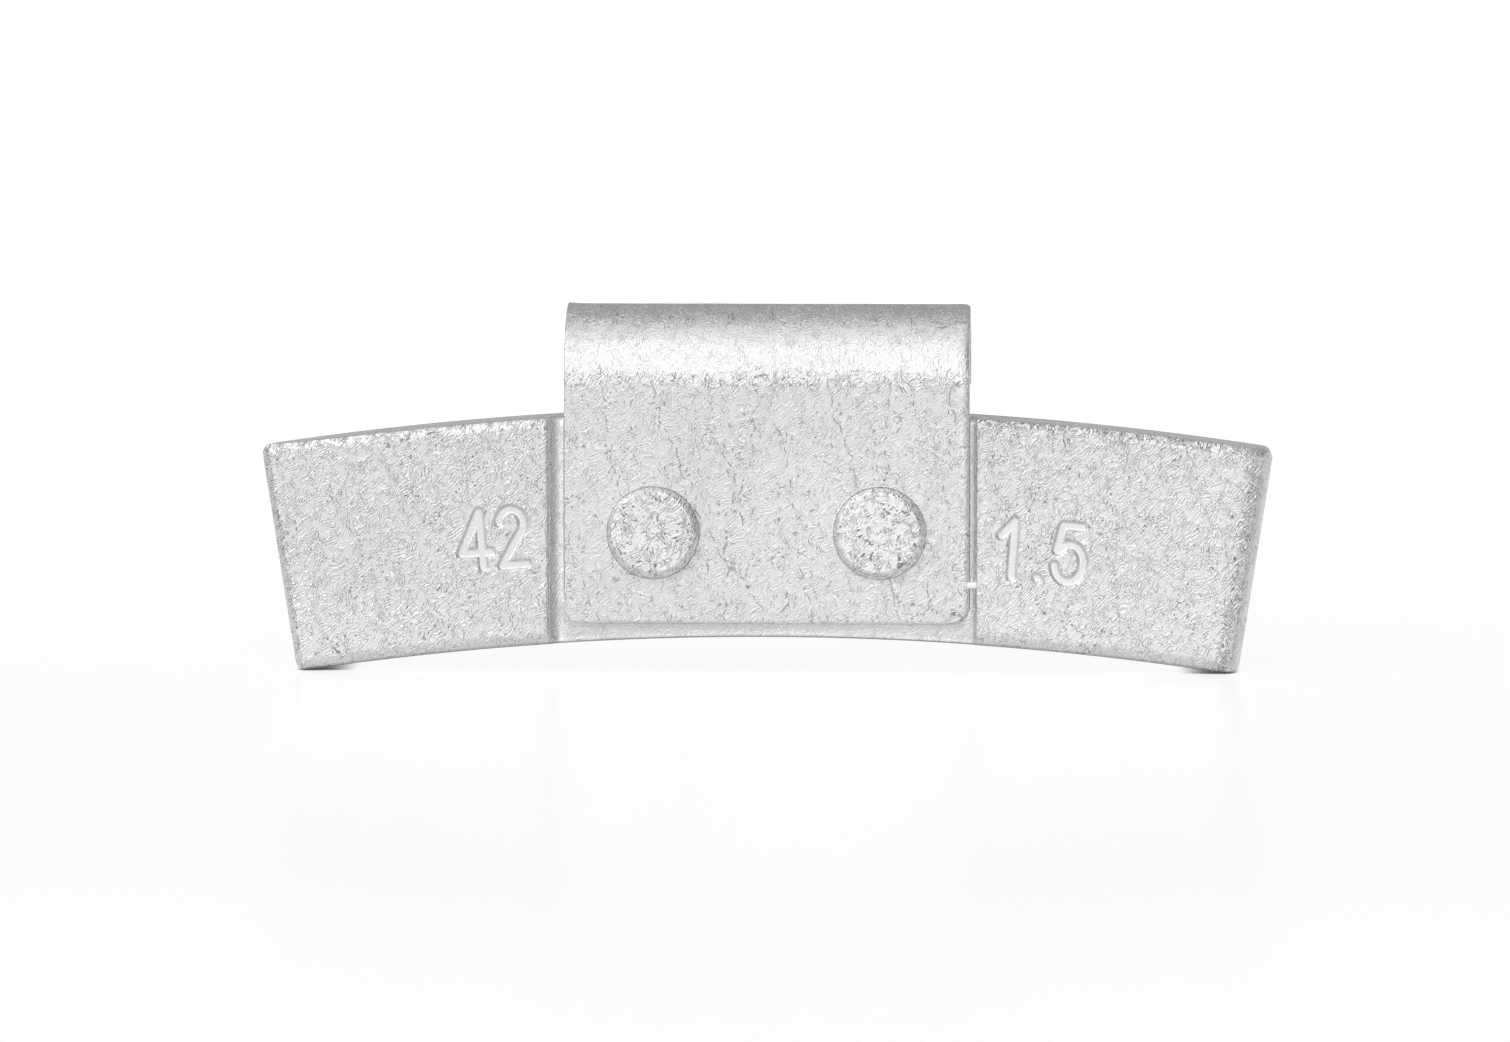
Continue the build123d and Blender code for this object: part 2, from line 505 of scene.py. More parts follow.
# Weight body
def half_front(wall, cove, shoulder, number_start, end_edges, end_round, crest_rise):
    """Front of one half, from the recess floor out to the end: rows of distance from the middle, depth,
    inset of the front, of the top and back and of the bottom, rise of the top's front edge, and lean."""
    turns = quarter()
    cove_width, cove_height = cove
    shoulder_width, shoulder_height = shoulder
    edge_width = max(end_edges[0][0], LOW_END_ROUND)
    wing_stop = end_x - edge_width
    wall_foot = wall - WALL_DRAFT
    wall_start = (wall_foot, RECESS_DEPTH - cove_height)
    wall_stops = np.linspace(wall_start, (wall, shoulder_height), WALL_STEPS + 1)
    outline = [(wall_foot - cove_width * (1 - share), RECESS_DEPTH - cove_height * share ** 2)
               for share in np.linspace(0, 1, 2 * ARC_STEPS)]
    outline += [tuple(stop) for stop in wall_stops[1:]]
    outline += [(wall + shoulder_width * (1 - math.cos(a)), shoulder_height * (1 - math.sin(a)))
                for a in turns]
    number_stop = number_start + NUMBER_SPAN
    stops = [wall + shoulder_width, number_start, number_stop, wing_stop - EDGE_GUARD, wing_stop]
    steps = [COARSE_STEP, FINE_STEP, COARSE_STEP, EDGE_GUARD]
    outline += [(distance, 0) for distance in spans(stops, steps)[1:]]
    outline += [(wing_stop + edge_width * math.sin(a), 0) for a in quarter(2 * ARC_STEPS)]
    distance, depth = np.array(outline).T
    front_inset = sum(corner_loss(end_x - distance, *edge) for edge in end_edges)
    side_inset = corner_loss(end_x - distance, end_round, end_round)
    low_inset = corner_loss(end_x - distance, LOW_END_ROUND, LOW_END_ROUND)
    rise = crest_rise * np.exp((distance - end_x) / RISE_REACH) * (1 - side_inset / end_round)
    lean = np.clip((distance - wall) / (end_x - wall), 0, 1) * math.sin(half_angle)
    return np.array([distance, depth, front_inset, side_inset, low_inset, rise, lean])


def front_columns():
    """Columns of the front from the right end to the left: rows of place, depth, three insets, rise and
    lean."""
    ounces_start = OUNCES_PLACE[0] - NUMBER_LEAD
    grams_start = -GRAMS_PLACE[0] - GRAMS_WIDTH - NUMBER_LEAD
    right = half_front(
        RECESS_RIGHT, RIGHT_COVE, RIGHT_SHOULDER, ounces_start, RIGHT_FRONT_EDGES, RIGHT_END_ROUND,
        RIGHT_RISE
    )
    left = half_front(
        -RECESS_LEFT, LEFT_COVE, LEFT_SHOULDER, grams_start, LEFT_FRONT_EDGES, LEFT_END_ROUND, LEFT_RISE
    )
    floor = np.zeros((len(right), FLOOR_COLUMNS))
    floor[0] = np.linspace(right[0, 0], -left[0, 0], FLOOR_COLUMNS + 2)[1:-1]
    floor[1] = RECESS_DEPTH
    left[[0, -1]] *= -1
    return np.concatenate([right[:, ::-1], floor, left], axis=1)


def body_loops(depth, front_inset, side_inset, low_inset, rise):
    """Section of the body at each column, as depth Y and radius of the points round it, with the front
    first, and how many of the points are on the front."""
    turns = quarter()
    sunk = depth / RECESS_DEPTH
    top_height, top_depth, top_power = TOP_BEVEL
    low_height, low_depth, low_power = LOWER_BEVEL
    front = wing_y + depth + front_inset
    back = back_y - side_inset
    bottom = inner_radius + low_inset
    top = OUTER_RADIUS - side_inset
    crest = top + rise

    def worn(size, recess_size, inset):
        return np.maximum(size + (recess_size - size) * sunk - inset, LEAST_ROUND)

    top_down, top_in = (worn(size, RECESS_TOP_EDGE, side_inset) for size in (top_height, top_depth))
    low_up, low_in = (worn(size, RECESS_LOW_EDGE, low_inset) for size in (low_height, low_depth))
    rear_round = np.maximum(BACK_ROUND - side_inset, LEAST_ROUND)
    foot = front - LIP_FLARE * sunk
    lip_stop = inner_radius + low_height + LIP_RISE
    stops = [inner_radius + low_height, lip_stop, OUNCES_PLACE[1] - NUMBER_MARGIN,
             GRAMS_PLACE[1] + NUMBER_HEIGHT + NUMBER_MARGIN, OUTER_RADIUS - top_height]
    rows = spans(stops, [LIP_STEP, COARSE_STEP, FINE_STEP, COARSE_STEP])
    rows = (rows - rows[0]) / (rows[-1] - rows[0])
    across = np.linspace(0, 1, TOP_STEPS + 1)[1:]
    upright = np.linspace(0, 1, BACK_STEPS + 1)[1:]

    def blend(start, stop, share):
        return start + (stop - start) * share

    face = blend(bottom + low_up, crest - top_down, rows)
    flare = LIP_FLARE * sunk * (1 - np.clip((face - bottom - low_up) / LIP_RISE, 0, 1)) ** 2
    top_across, top_fall = bevel_arc(turns, top_power)
    low_rise, low_across = bevel_arc(turns[:-1], low_power)
    pieces = [
        (front - flare, face),
        (front + top_in * top_across, crest - top_down * top_fall),
        (blend(front + top_in, back - rear_round, across), blend(crest, top, across)),
        (back - rear_round * (1 - np.sin(turns)), top - rear_round * (1 - np.cos(turns))),
        (back + 0 * upright, blend(top - rear_round, bottom + rear_round, upright)),
        (back - rear_round * (1 - np.cos(turns)), bottom + rear_round * (1 - np.sin(turns))),
        (blend(back - rear_round, foot + low_in, across), bottom + 0 * across),
        (foot + low_in * low_across, bottom + low_up * low_rise),
    ]
    y = np.concatenate([piece[0] for piece in pieces], axis=1)
    radius = np.concatenate([piece[1] for piece in pieces], axis=1)
    return y, radius, rows.size


def clip_pocket():
    """Cutter with the outline of the clip's leg and a clearance beside it, down to the clip's seat."""
    half = clip_high.x + POCKET_CLEARANCE
    foot = clip_low.z
    corner = CLIP_CORNER + POCKET_CLEARANCE
    turns = quarter(POCKET_STEPS)
    outline = [(-half, crown_z + CUT_MARGIN), (-half, foot + corner)]
    outline += [(-half + corner * (1 - math.cos(a)), foot + corner * (1 - math.sin(a))) for a in turns]
    outline += [(-x, z) for x, z in reversed(outline)]
    rings = [np.array([(x, y, z) for x, z in outline]) for y in (seat_y, wing_y - CUT_MARGIN)]
    return tube("clip_pocket", rings)


def weight_body():
    place, depth, front_inset, side_inset, low_inset, rise, lean = front_columns()[:, :, None]
    y, radius, front_rows = body_loops(depth, front_inset, side_inset, low_inset, rise)
    x = np.clip(place + lean * (radius - middle_radius), body_low.x, body_high.x)
    z = np.maximum(ring_z + np.sqrt(radius ** 2 - x ** 2), body_low.z)
    face_x, face_z = x[:, :front_rows], z[:, :front_rows]
    pressed, inside = number_press(face_x, face_z)
    swell_height, swell_size, swell_seed = BODY_SWELL
    swell = 1 + undulation(face_x, face_z, swell_size, swell_seed)
    y[:, :front_rows] += pressed + swell_height * swell * (1 - inside)
    body = capped_tube("weight_body_coated", list(np.stack([x, y, z], axis=2)), BODY_CAP)
    cutters = [clip_pocket()]
    for number, rivet_place in enumerate(rivet_places):
        profile = [(0, back_y - DIMPLE_TIP_DEPTH), (DIMPLE_RADIUS, back_y - DIMPLE_DEPTH)]
        profile += [(DIMPLE_RADIUS, back_y + CUT_MARGIN), (0, back_y + CUT_MARGIN)]
        cutters.append(lathe(f"dimple_{number}", profile, rivet_place))
    cut(body, cutters)
    return body


# Spring clip
def clip_path():
    """Stations along the outer side of the strip: point, outward direction, turn and distances from both
    ends."""
    bend_length = math.pi * hook_radius
    leg_length = bend_z - clip_low.z
    total = leg_length + bend_length + TIP_LENGTH
    foot = CLIP_CORNER * (1 - np.cos(np.linspace(0, math.pi / 2, FOOT_POINTS)))
    tip = total - TIP_CORNER * (1 - np.cos(np.linspace(math.pi / 2, 0, TIP_POINTS)))
    between = spans([foot[-1], leg_length, tip[0]], [CLIP_STEP, CLIP_STEP])[1:-1]
    stations = []
    for place in np.concatenate([foot, between, tip]):
        turn = min(max(place - leg_length, 0), bend_length) / hook_radius
        outward = np.array([-math.cos(turn), math.sin(turn)])
        spot = np.array([bend_y, bend_z]) + hook_radius * outward
        spot[1] += min(place - leg_length, 0) - max(place - leg_length - bend_length, 0)
        stations.append((spot, outward, turn, place, total - place))
    return stations


def strip_section(half, front, back):
    """Section of the strip between two depths, as places across it and depths below its outer side."""
    turns = quarter(EDGE_STEPS)
    left_width, left_depth = LEFT_EDGE
    right_width, right_depth = RIGHT_EDGE
    count = round(2 * clip_high.x / CLIP_STEP)
    face = np.linspace(-half + left_width, half - right_width, count)
    rear = np.linspace(half - BACK_EDGE, -half + BACK_EDGE, count)[1:]
    right_side = np.linspace(front + right_depth, back - BACK_EDGE, SIDE_STEPS + 1)[1:]
    left_side = np.linspace(back - BACK_EDGE, front + left_depth, SIDE_STEPS + 1)[1:]
    pieces = [
        (face, front + 0 * face),
        (half - right_width * (1 - np.sin(turns)), front + right_depth * (1 - np.cos(turns))),
        (half + 0 * right_side, right_side),
        (half - BACK_EDGE * (1 - np.cos(turns)), back - BACK_EDGE * (1 - np.sin(turns))),
        (rear, back + 0 * rear),
        (-half + BACK_EDGE * (1 - np.sin(turns)), back - BACK_EDGE * (1 - np.cos(turns))),
        (-half + 0 * left_side, left_side),
        (-half + left_width * (1 - np.cos(turns[:-1])), front + left_depth * (1 - np.sin(turns[:-1]))),
    ]
    return np.concatenate([piece[0] for piece in pieces]), np.concatenate([piece[1] for piece in pieces])


def rim_clip():
    swell_height, swell_size, swell_seed = CLIP_SWELL
    rings = []
    for spot, outward, turn, from_foot, from_tip in clip_path():
        half = clip_high.x - corner_loss(from_foot, CLIP_CORNER, CLIP_CORNER)
        half -= corner_loss(from_tip, TIP_CORNER, TIP_CORNER)
        worn_tip = corner_loss(from_tip, TIP_EDGE, TIP_EDGE)
        front = corner_loss(from_foot, *FOOT_EDGE) + worn_tip
        back = CLIP_THICKNESS - corner_loss(from_foot, BACK_EDGE, BACK_EDGE) - worn_tip
        across, deep = strip_section(half, front, back)
        from_side = (clip_high.x - np.abs(across)) / SAG_REACH
        deep = deep + BEND_SAG * math.sin(turn) * (1 - np.exp(-from_side ** 2))
        swell = 1 + undulation(across, 0 * across + from_foot, swell_size, swell_seed)
        deep = deep + swell_height * swell
        rings.append(np.stack([across, spot[0] - deep * outward[0], spot[1] - deep * outward[1]], axis=1))
    clip = capped_tube("rim_clip_coated", rings, CLIP_CAP)
    groove_radius = HEAD_RADIUS + HEAD_GROOVE[0]
    groove_y = clip_y + HEAD_GROOVE[1]
    above, below = clip_y - CUT_MARGIN, seat_y + CUT_MARGIN
    profile = [(0, above), (groove_radius, above), (groove_radius, groove_y)]
    profile += [(HOLE_RADIUS, groove_y), (HOLE_RADIUS, below), (0, below)]
    cut(clip, [
        lathe(f"hole_{number}", profile, place, FINE_TURN_COUNT) for number, place in enumerate(rivet_places)
    ])
    return clip


def rivet(name, place, seed):
    """Flat head upset over the clip, uneven and a little off centre on top, on a shank that runs into the
    body."""
    top = head_y + HEAD_RELIEF
    rim_width = HEAD_RADIUS - FACE_RADIUS
    profile = [(radius, top) for radius in np.linspace(0, FACE_RADIUS, FACE_POINTS)]
    profile += [(FACE_RADIUS + rim_width * share, top + RIM_DROP * share ** RIM_POWER)
                for share in np.linspace(0, 1, RIM_STEPS + 1)[1:]]
    bottom = clip_y + HEAD_GROOVE[1]
    profile += [(HEAD_RADIUS, bottom), (SHANK_RADIUS, bottom)]
    profile += [(SHANK_RADIUS, seat_y + SHANK_ROOT), (0, seat_y + SHANK_ROOT)]
    head = lathe(name, profile, place, FINE_TURN_COUNT)
    for vertex in head.data.vertices:
        spot = vertex.co / MM
        raised = min(max((top + RIM_DROP - spot.y) / RIM_DROP, 0), 1)
        uneven = sum(
            share * noise.noise(Vector((spot.x / size, seed, spot.z / size))) for size, share in HEAD_WAVES
        )
        moved = spot + Vector(FACE_SHIFT) * raised
        moved.y += HEAD_RELIEF * uneven * raised
        vertex.co = moved * MM
    return head


def coat_bridge():
    """Thread of coat left across the narrow gap, flared where it meets the clip and the wing."""
    start = clip_high.x - BRIDGE_ROOTS[0]
    stop = RECESS_RIGHT + BRIDGE_ROOTS[1]
    z = crown_z - BRIDGE_DROP
    y = clip_y + BRIDGE_RADIUS + BRIDGE_SINK
    flare, flare_power = BRIDGE_FLARE
    turns = np.linspace(0, 2 * math.pi, BRIDGE_TURNS, endpoint=False)
    rounded = np.abs(np.cos(turns)) ** BRIDGE_SQUARENESS + np.abs(np.sin(turns)) ** BRIDGE_SQUARENESS
    squared = 1 / rounded ** (1 / BRIDGE_SQUARENESS)
    rings = []
    for share in np.linspace(0, 1, BRIDGE_RINGS):
        radius = BRIDGE_RADIUS * (1 + flare * abs(2 * share - 1) ** flare_power) * squared
        x = np.full(turns.size, start + share * (stop - start))
        rings.append(np.stack([x, y + radius * np.cos(turns), z + radius * np.sin(turns)], axis=1))
    return capped_tube("coat_bridge", rings, BRIDGE_CAP)


def foot_fillet():
    """Coat drawn up against the foot of the clip, with a wedge for its section, that tapers out up the left
    side and round the right corner."""
    half, lift = clip_high.x, clip_low.z + CLIP_CORNER
    inner = half - CLIP_CORNER
    left, down, right = math.pi, 1.5 * math.pi, 2 * math.pi

    def corner(middle, start, stop):
        turns = np.linspace(start, stop, FILLET_CORNER_POINTS)
        return [(middle + CLIP_CORNER * math.cos(a), lift + CLIP_CORNER * math.sin(a), a) for a in turns]

    path = [(-half, lift + rise, left) for rise in np.linspace(FILLET_SIDE, 0, FILLET_SIDE_STEPS + 1)[:-1]]
    path += corner(-inner, left, down)
    path += [(x, clip_low.z, down) for x in np.linspace(-inner, inner, FILLET_FOOT_STEPS + 1)[1:-1]]
    path += corner(inner, down, right)
    x, z, facing = np.array(path).T
    along = np.concatenate([[0], np.cumsum(np.hypot(np.diff(x), np.diff(z)))])
    taper = np.maximum(smooth_step(np.minimum(along, along[-1] - along) / FILLET_TAPER), LEAST_ROUND)
    uneven_share, uneven_size, uneven_seed = FILLET_UNEVEN
    uneven = 1 + uneven_share * undulation(x, z, uneven_size, uneven_seed)
    share = np.linspace(0, 1, WEDGE_POINTS)
    floor_y = wing_y + RECESS_DEPTH
    rings = []
    for number in range(len(path)):
        width, height = np.array(FILLET) * taper[number]
        width *= uneven[number]
        out = np.append(share * (width + FILLET_ROOT) - FILLET_ROOT, [width, -FILLET_ROOT])
        deep = np.append(floor_y - height * (1 - share) ** FILLET_HOLLOW, [floor_y + FILLET_ROOT] * 2)
        side, up = math.cos(facing[number]), math.sin(facing[number])
        rings.append(np.stack([x[number] + out * side, deep, z[number] + out * up], axis=1))
    fillet = capped_tube("clip_fillet", rings, FILLET_CAP)
    fillet.data.set_sharp_from_angle(angle=SHARP_ANGLE)
    return fillet


# Marks on the coat
def store_marks(piece, texture, painted_shade):
    """Stores at each point how much of the coat's texture shows there, and how much painted shade it gets,
    negative for a painted highlight.
    """
    for name, values in (("texture", texture), ("painted_shade", painted_shade)):
        marks = piece.data.attributes.new(name, "FLOAT", "POINT")
        marks.data.foreach_set("value", np.broadcast_to(values, len(piece.data.vertices)).copy())


def point_places(piece):
    """Places of a piece's points in millimetres, as rows of x, y and z."""
    places = np.empty(3 * len(piece.data.vertices))
    piece.data.vertices.foreach_get("co", places)
    return places.reshape(-1, 3).T / MM


def mark_body(piece):
    """Coarser coat along the top and the ends of the wings, a smoother one in the numbers and the recess,
    and painted shade that grows towards the top, lies in the gaps beside the clip and on the lip below it,
    and is strongest under the body's front edge, with a darker band along the right end and a painted
    highlight on its rim."""
    x, y, z = point_places(piece)
    radius = np.hypot(x, z - ring_z)
    front = y < wing_y + FRONT_REACH
    inside = number_press(x, z)[1] * front
    from_end = radius * (half_angle - np.abs(np.arctan2(x, z - ring_z)))

    def band(distance, middle, width):
        return np.exp(-((distance - middle) / width) ** 2) * front

    right_end = band(from_end, *RIGHT_END_BAND) * (x > 0)
    left_end = band(from_end, *LEFT_END_BAND) * (x < 0)
    top = band(OUTER_RADIUS - radius, 0, TOP_BAND) * np.where(x > 0, RIGHT_TOP_TEXTURE, LEFT_TOP_TEXTURE)
    rougher = np.maximum(top, RIGHT_END_TEXTURE * right_end + LEFT_END_TEXTURE * left_end)
    texture = (1 + rougher) * (1 - NUMBER_SMOOTH * inside)
    recessed = front & (x > RECESS_LEFT) & (x < RECESS_RIGHT)
    texture[recessed] = RECESS_TEXTURE
    # Painted shade: the front is painted darker towards the top
    painted_shade = UPPER_PAINTED_SHADE * (radius - inner_radius) / BODY_HEIGHT * front
    # painted shade on the lip of the recess below the clip
    painted_shade[recessed] = np.where(z < clip_low.z, LIP_PAINTED_SHADE, 0)[recessed]
    # painted shade in the right gap, and a painted shadow in the left gap fading from the wall towards the
    # clip
    painted_shade = np.where(recessed & (x > clip_high.x), RIGHT_GAP_PAINTED_SHADE, painted_shade)
    left_gap_painted_shadow = smooth_step((clip_low.x - x - LEFT_GAP_START) / LEFT_GAP_FADE)
    painted_shade = np.where(recessed & (x < clip_low.x), left_gap_painted_shadow, painted_shade)
    # painted shade under the body's front edge
    under = smooth_step(1 - (radius - inner_radius) / UNDER_BAND)
    # painted highlight on the right end's rim, stored as negative painted shade
    rim = smooth_step(1 - from_end / RIGHT_RIM_BAND) * (x > 0) * front
    # a darker band along the right end is added as well
    painted_shade = painted_shade + UNDER_PAINTED_SHADE * under * front + RIGHT_END_DARKENING * right_end - RIGHT_RIM_PAINTED_HIGHLIGHT * rim
    store_marks(piece, texture, painted_shade)


def mark_clip(piece):
    """Coarser coat where the bend starts and along its top, a smoother one between them, and painted shade
    that grows up the leg."""
    _, y, z = point_places(piece)
    above = (z - bend_z) / BEND_BAND
    texture = 1 + BEND_ROUGH * np.exp(-(above - BEND_ROUGH_PLACE) ** 2)
    texture -= BEND_SMOOTH * smooth_step(above - BEND_SMOOTH_START)
    texture += BEND_TOP * smooth_step((z - clip_high.z) / BEND_TOP_BAND + BEND_TOP_START)
    # Painted shade: the leg is painted darker towards the bend and fades out round it
    up_leg = (z - clip_low.z) / (bend_z - clip_low.z)
    painted_shade = UPPER_PAINTED_SHADE * up_leg * (1 - smooth_step(above + BEND_PAINTED_SHADE_END))
    front = y < bend_y
    store_marks(piece, np.where(front, texture, 1.0), np.where(front, painted_shade, 0.0))


# Materials
class Tree:
    """Short ways to add and join the nodes of one material."""

    def __init__(self, name):
        self.material = bpy.data.materials.new(name)
        self.material.use_nodes = True
        self.nodes = self.material.node_tree.nodes
        self.links = self.material.node_tree.links
        self.shader = self.nodes["Principled BSDF"]

    def set(self, socket, value):
        if isinstance(value, bpy.types.NodeSocket):
            self.links.new(value, socket)
        else:
            socket.default_value = value

    def add(self, kind, inputs, output=0, **settings):
        node = self.nodes.new(kind)
        for key, value in settings.items():
            setattr(node, key, value)
        for key, value in inputs.items():
            self.set(node.inputs[key], value)
        return node.outputs[output]

    def math(self, operation, first, second=0.0, third=0.0):
        return self.add("ShaderNodeMath", {0: first, 1: second, 2: third}, operation=operation)

    def noise(self, vector, scale, detail=1.0, distortion=0.0, output=0):
        inputs = {"Vector": vector, "Scale": scale, "Detail": detail, "Distortion": distortion}
        return self.add("ShaderNodeTexNoise", inputs, output)

    def ramp(self, value, start, stop, low=0.0, high=1.0):
        inputs = {"Value": value, "From Min": start, "From Max": stop, "To Min": low, "To Max": high}
        return self.add("ShaderNodeMapRange", inputs, interpolation_type="SMOOTHSTEP")

    def near(self, value, middle, limits):
        """One close to a middle value and zero away from it."""
        return self.ramp(self.math("ABSOLUTE", self.math("SUBTRACT", value, middle)), *limits)

    def leaning(self, vector, stretch):
        """Coordinates drawn out along the lean of the coat's strokes."""
        inputs = {"Vector": vector, "Rotation": (0, STROKE_LEAN, 0), "Scale": (stretch, 1, 1)}
        return self.add("ShaderNodeMapping", inputs, vector_type="TEXTURE")

    def product(self, *factors):
        result = factors[0]
        for factor in factors[1:]:
            result = self.math("MULTIPLY", result, factor)
        return result


def zinc_coat(name, tone, seed, relief, strands, worms, stroke_painted_light, cell, lines, scratches, specks, crowding):
    """Silver zinc coat: fine leaning streaks, worm-like strokes, hairlines, long scratches, dark specks and
    a soft drift of
    tone, with painted light in its shade: painted shade in the troughs of the streaks, a painted highlight
    on the strokes, a painted shadow in the creases beside them, a painted sheen on smooth places, and the
    painted shade stored on the points."""
    tree = Tree(name)
    place = tree.add("ShaderNodeTexCoord", {}, "Object")
    inputs = {"Vector": place, "Location": (seed, seed, seed), "Scale": (1 / MM,) * 3}
    spot = tree.add("ShaderNodeMapping", inputs)
    texture = tree.add("ShaderNodeAttribute", {}, "Fac", attribute_name="texture")
    painted_shade = tree.add("ShaderNodeAttribute", {}, "Fac", attribute_name="painted_shade")
    warp = tree.noise(spot, WARP_SCALE, output="Color")
    inputs = {0: warp, 1: (WARP_REACH,) * 3, 2: spot}
    bent = tree.add("ShaderNodeVectorMath", inputs, operation="MULTIPLY_ADD")

    inputs = {
        "Vector": tree.leaning(bent, 1.0), "Scale": strands, "Distortion": WEAVE_BEND, "Detail": 1.0,
        "Detail Scale": WEAVE_DETAIL_SCALE,
    }
    weave = tree.add("ShaderNodeTexWave", inputs, "Fac", bands_direction="Z")
    strand = tree.ramp(tree.noise(tree.leaning(bent, STRAND_STRETCH), STRAND_SCALE), *STRAND_LIMITS)
    streak = tree.math("MULTIPLY_ADD", tree.math("SUBTRACT", weave, 0.5), strand, 0.5)
    worm = tree.noise(tree.leaning(bent, WORM_STRETCH), WORM_SCALE, distortion=WORM_BEND)
    patches = tree.noise(spot, PATCH_SCALE)
    worm_patch = tree.product(tree.ramp(patches, *WORM_PATCH), texture, worms)
    stroke = tree.product(tree.near(worm, RIDGE_MIDDLE, RIDGE_LIMITS), worm_patch)
    crease = tree.product(tree.near(worm, GROOVE_MIDDLE, GROOVE_LIMITS), worm_patch)

    rough = tree.ramp(texture, *ROUGH_LIMITS)
    cells = tree.add("ShaderNodeTexVoronoi", {"Vector": bent, "Scale": cell}, feature="DISTANCE_TO_EDGE")
    width = HAIR_WIDTH * cell
    hair = tree.ramp(cells, width, HAIR_CORE * width)
    hairline = tree.product(hair, tree.ramp(patches, *HAIR_PATCH), lines)
    inputs = {"Vector": bent, "Rotation": (0, SCRATCH_LEAN, 0), "Scale": (1, 1, SCRATCH_STRETCH)}
    upright = tree.add("ShaderNodeMapping", inputs, vector_type="TEXTURE")
    inputs = {"Vector": upright, "Scale": SCRATCH_SCALE}
    long_cells = tree.add("ShaderNodeTexVoronoi", inputs, feature="DISTANCE_TO_EDGE")
    broken = tree.ramp(tree.noise(spot, BREAK_SCALE), *BREAK_LIMITS)
    scratch = tree.product(tree.ramp(long_cells, *SCRATCH_LIMITS), broken, scratches)
    dent = tree.product(tree.math("MAXIMUM", hairline, scratch), rough)

    start, full = CLUSTER_LIMITS
    cluster = tree.ramp(tree.noise(spot, CLUSTER_SCALE), start - crowding, full - crowding)
    crowded = tree.math("MAXIMUM", cluster, tree.ramp(texture, *COARSE_LIMITS))
    dot = tree.ramp(tree.noise(tree.leaning(bent, SPECK_STRETCH), SPECK_SCALE), *SPECK_LIMITS)
    speck = tree.product(dot, crowded, specks, rough)
    drift = tree.noise(spot, DRIFT_SCALE, DRIFT_DETAIL)

    height = tree.product(streak, STREAK_HEIGHT, texture)
    for mark, rise in (
        (stroke, STROKE_HEIGHT), (crease, CREASE_HEIGHT), (dent, DENT_HEIGHT), (speck, SPECK_HEIGHT)
    ):
        height = tree.math("MULTIPLY_ADD", mark, rise, height)
    bump = tree.add("ShaderNodeBump", {"Strength": 1.0, "Distance": relief * MM, "Height": height})

    shade = tree.product(
        tree.math("MULTIPLY_ADD", drift, *DRIFT_SHADE),
        # painted shade in the troughs of the streaks, lighter on their crests
        tree.ramp(streak, *STREAK_PAINTED_SHADE),
        # painted highlight on the worm strokes; a negative amount makes them darker instead
        tree.math("MULTIPLY_ADD", stroke, stroke_painted_light, 1.0),
        # painted shadow in the creases beside the strokes
        tree.math("MULTIPLY_ADD", crease, CREASE_PAINTED_SHADOW, 1.0),
        # painted sheen on smooth places
        tree.ramp(texture, *SMOOTH_PAINTED_SHEEN),
        tree.math("MULTIPLY_ADD", dent, DENT_SHADE, 1.0),
        tree.math("MULTIPLY_ADD", speck, SPECK_SHADE, 1.0),
        # painted shade stored on the points, with painted highlights where it is negative
        tree.math("MULTIPLY_ADD", painted_shade, PAINTED_SHADE_FACTOR, 1.0),
    )
    # the painted shade also tints the coat towards a darker, lilac tone
    tint = tree.add("ShaderNodeMix", {0: painted_shade, 6: (*tone, 1), 7: (*PAINTED_SHADE_TONE, 1)}, 2, data_type="RGBA")
    colour = tree.add("ShaderNodeVectorMath", {0: tint, "Scale": shade}, operation="SCALE")
    tree.set(tree.shader.inputs["Base Color"], colour)
    tree.set(tree.shader.inputs["Metallic"], COAT_METALLIC)
    tree.set(tree.shader.inputs["Roughness"], COAT_ROUGHNESS)
    tree.set(tree.shader.inputs["Normal"], bump)
    return tree.material


# Studio
def seen_rays(tree):
    """One for rays from the camera, a gloss or a glass, and zero for the rest."""
    rays = tree.nodes.new("ShaderNodeLightPath")
    total = rays.outputs["Is Camera Ray"]
    for name in ("Is Glossy Ray", "Is Transmission Ray"):
        larger = tree.nodes.new("ShaderNodeMath")
        larger.operation = "MAXIMUM"
        tree.links.new(total, larger.inputs[0])
        tree.links.new(rays.outputs[name], larger.inputs[1])
        total = larger.outputs[0]
    return total


def studio_world():
    world = bpy.data.worlds.new("studio")
    bpy.context.scene.world = world
    world.use_nodes = True
    tree = world.node_tree
    background = tree.nodes["Background"]
    background.inputs["Color"].default_value = (1, 1, 1, 1)
    level = tree.nodes.new("ShaderNodeMapRange")
    level.inputs["To Min"].default_value = WORLD_FILL
    level.inputs["To Max"].default_value = 1.0
    tree.links.new(seen_rays(tree), level.inputs["Value"])
    tree.links.new(level.outputs[0], background.inputs["Strength"])


def plane(name, corners):
    mesh = bpy.data.meshes.new(name)
    mesh.from_pydata(corners, [], [(0, 1, 2, 3)])
    piece = bpy.data.objects.new(name, mesh)
    bpy.context.scene.collection.objects.link(piece)
    return piece


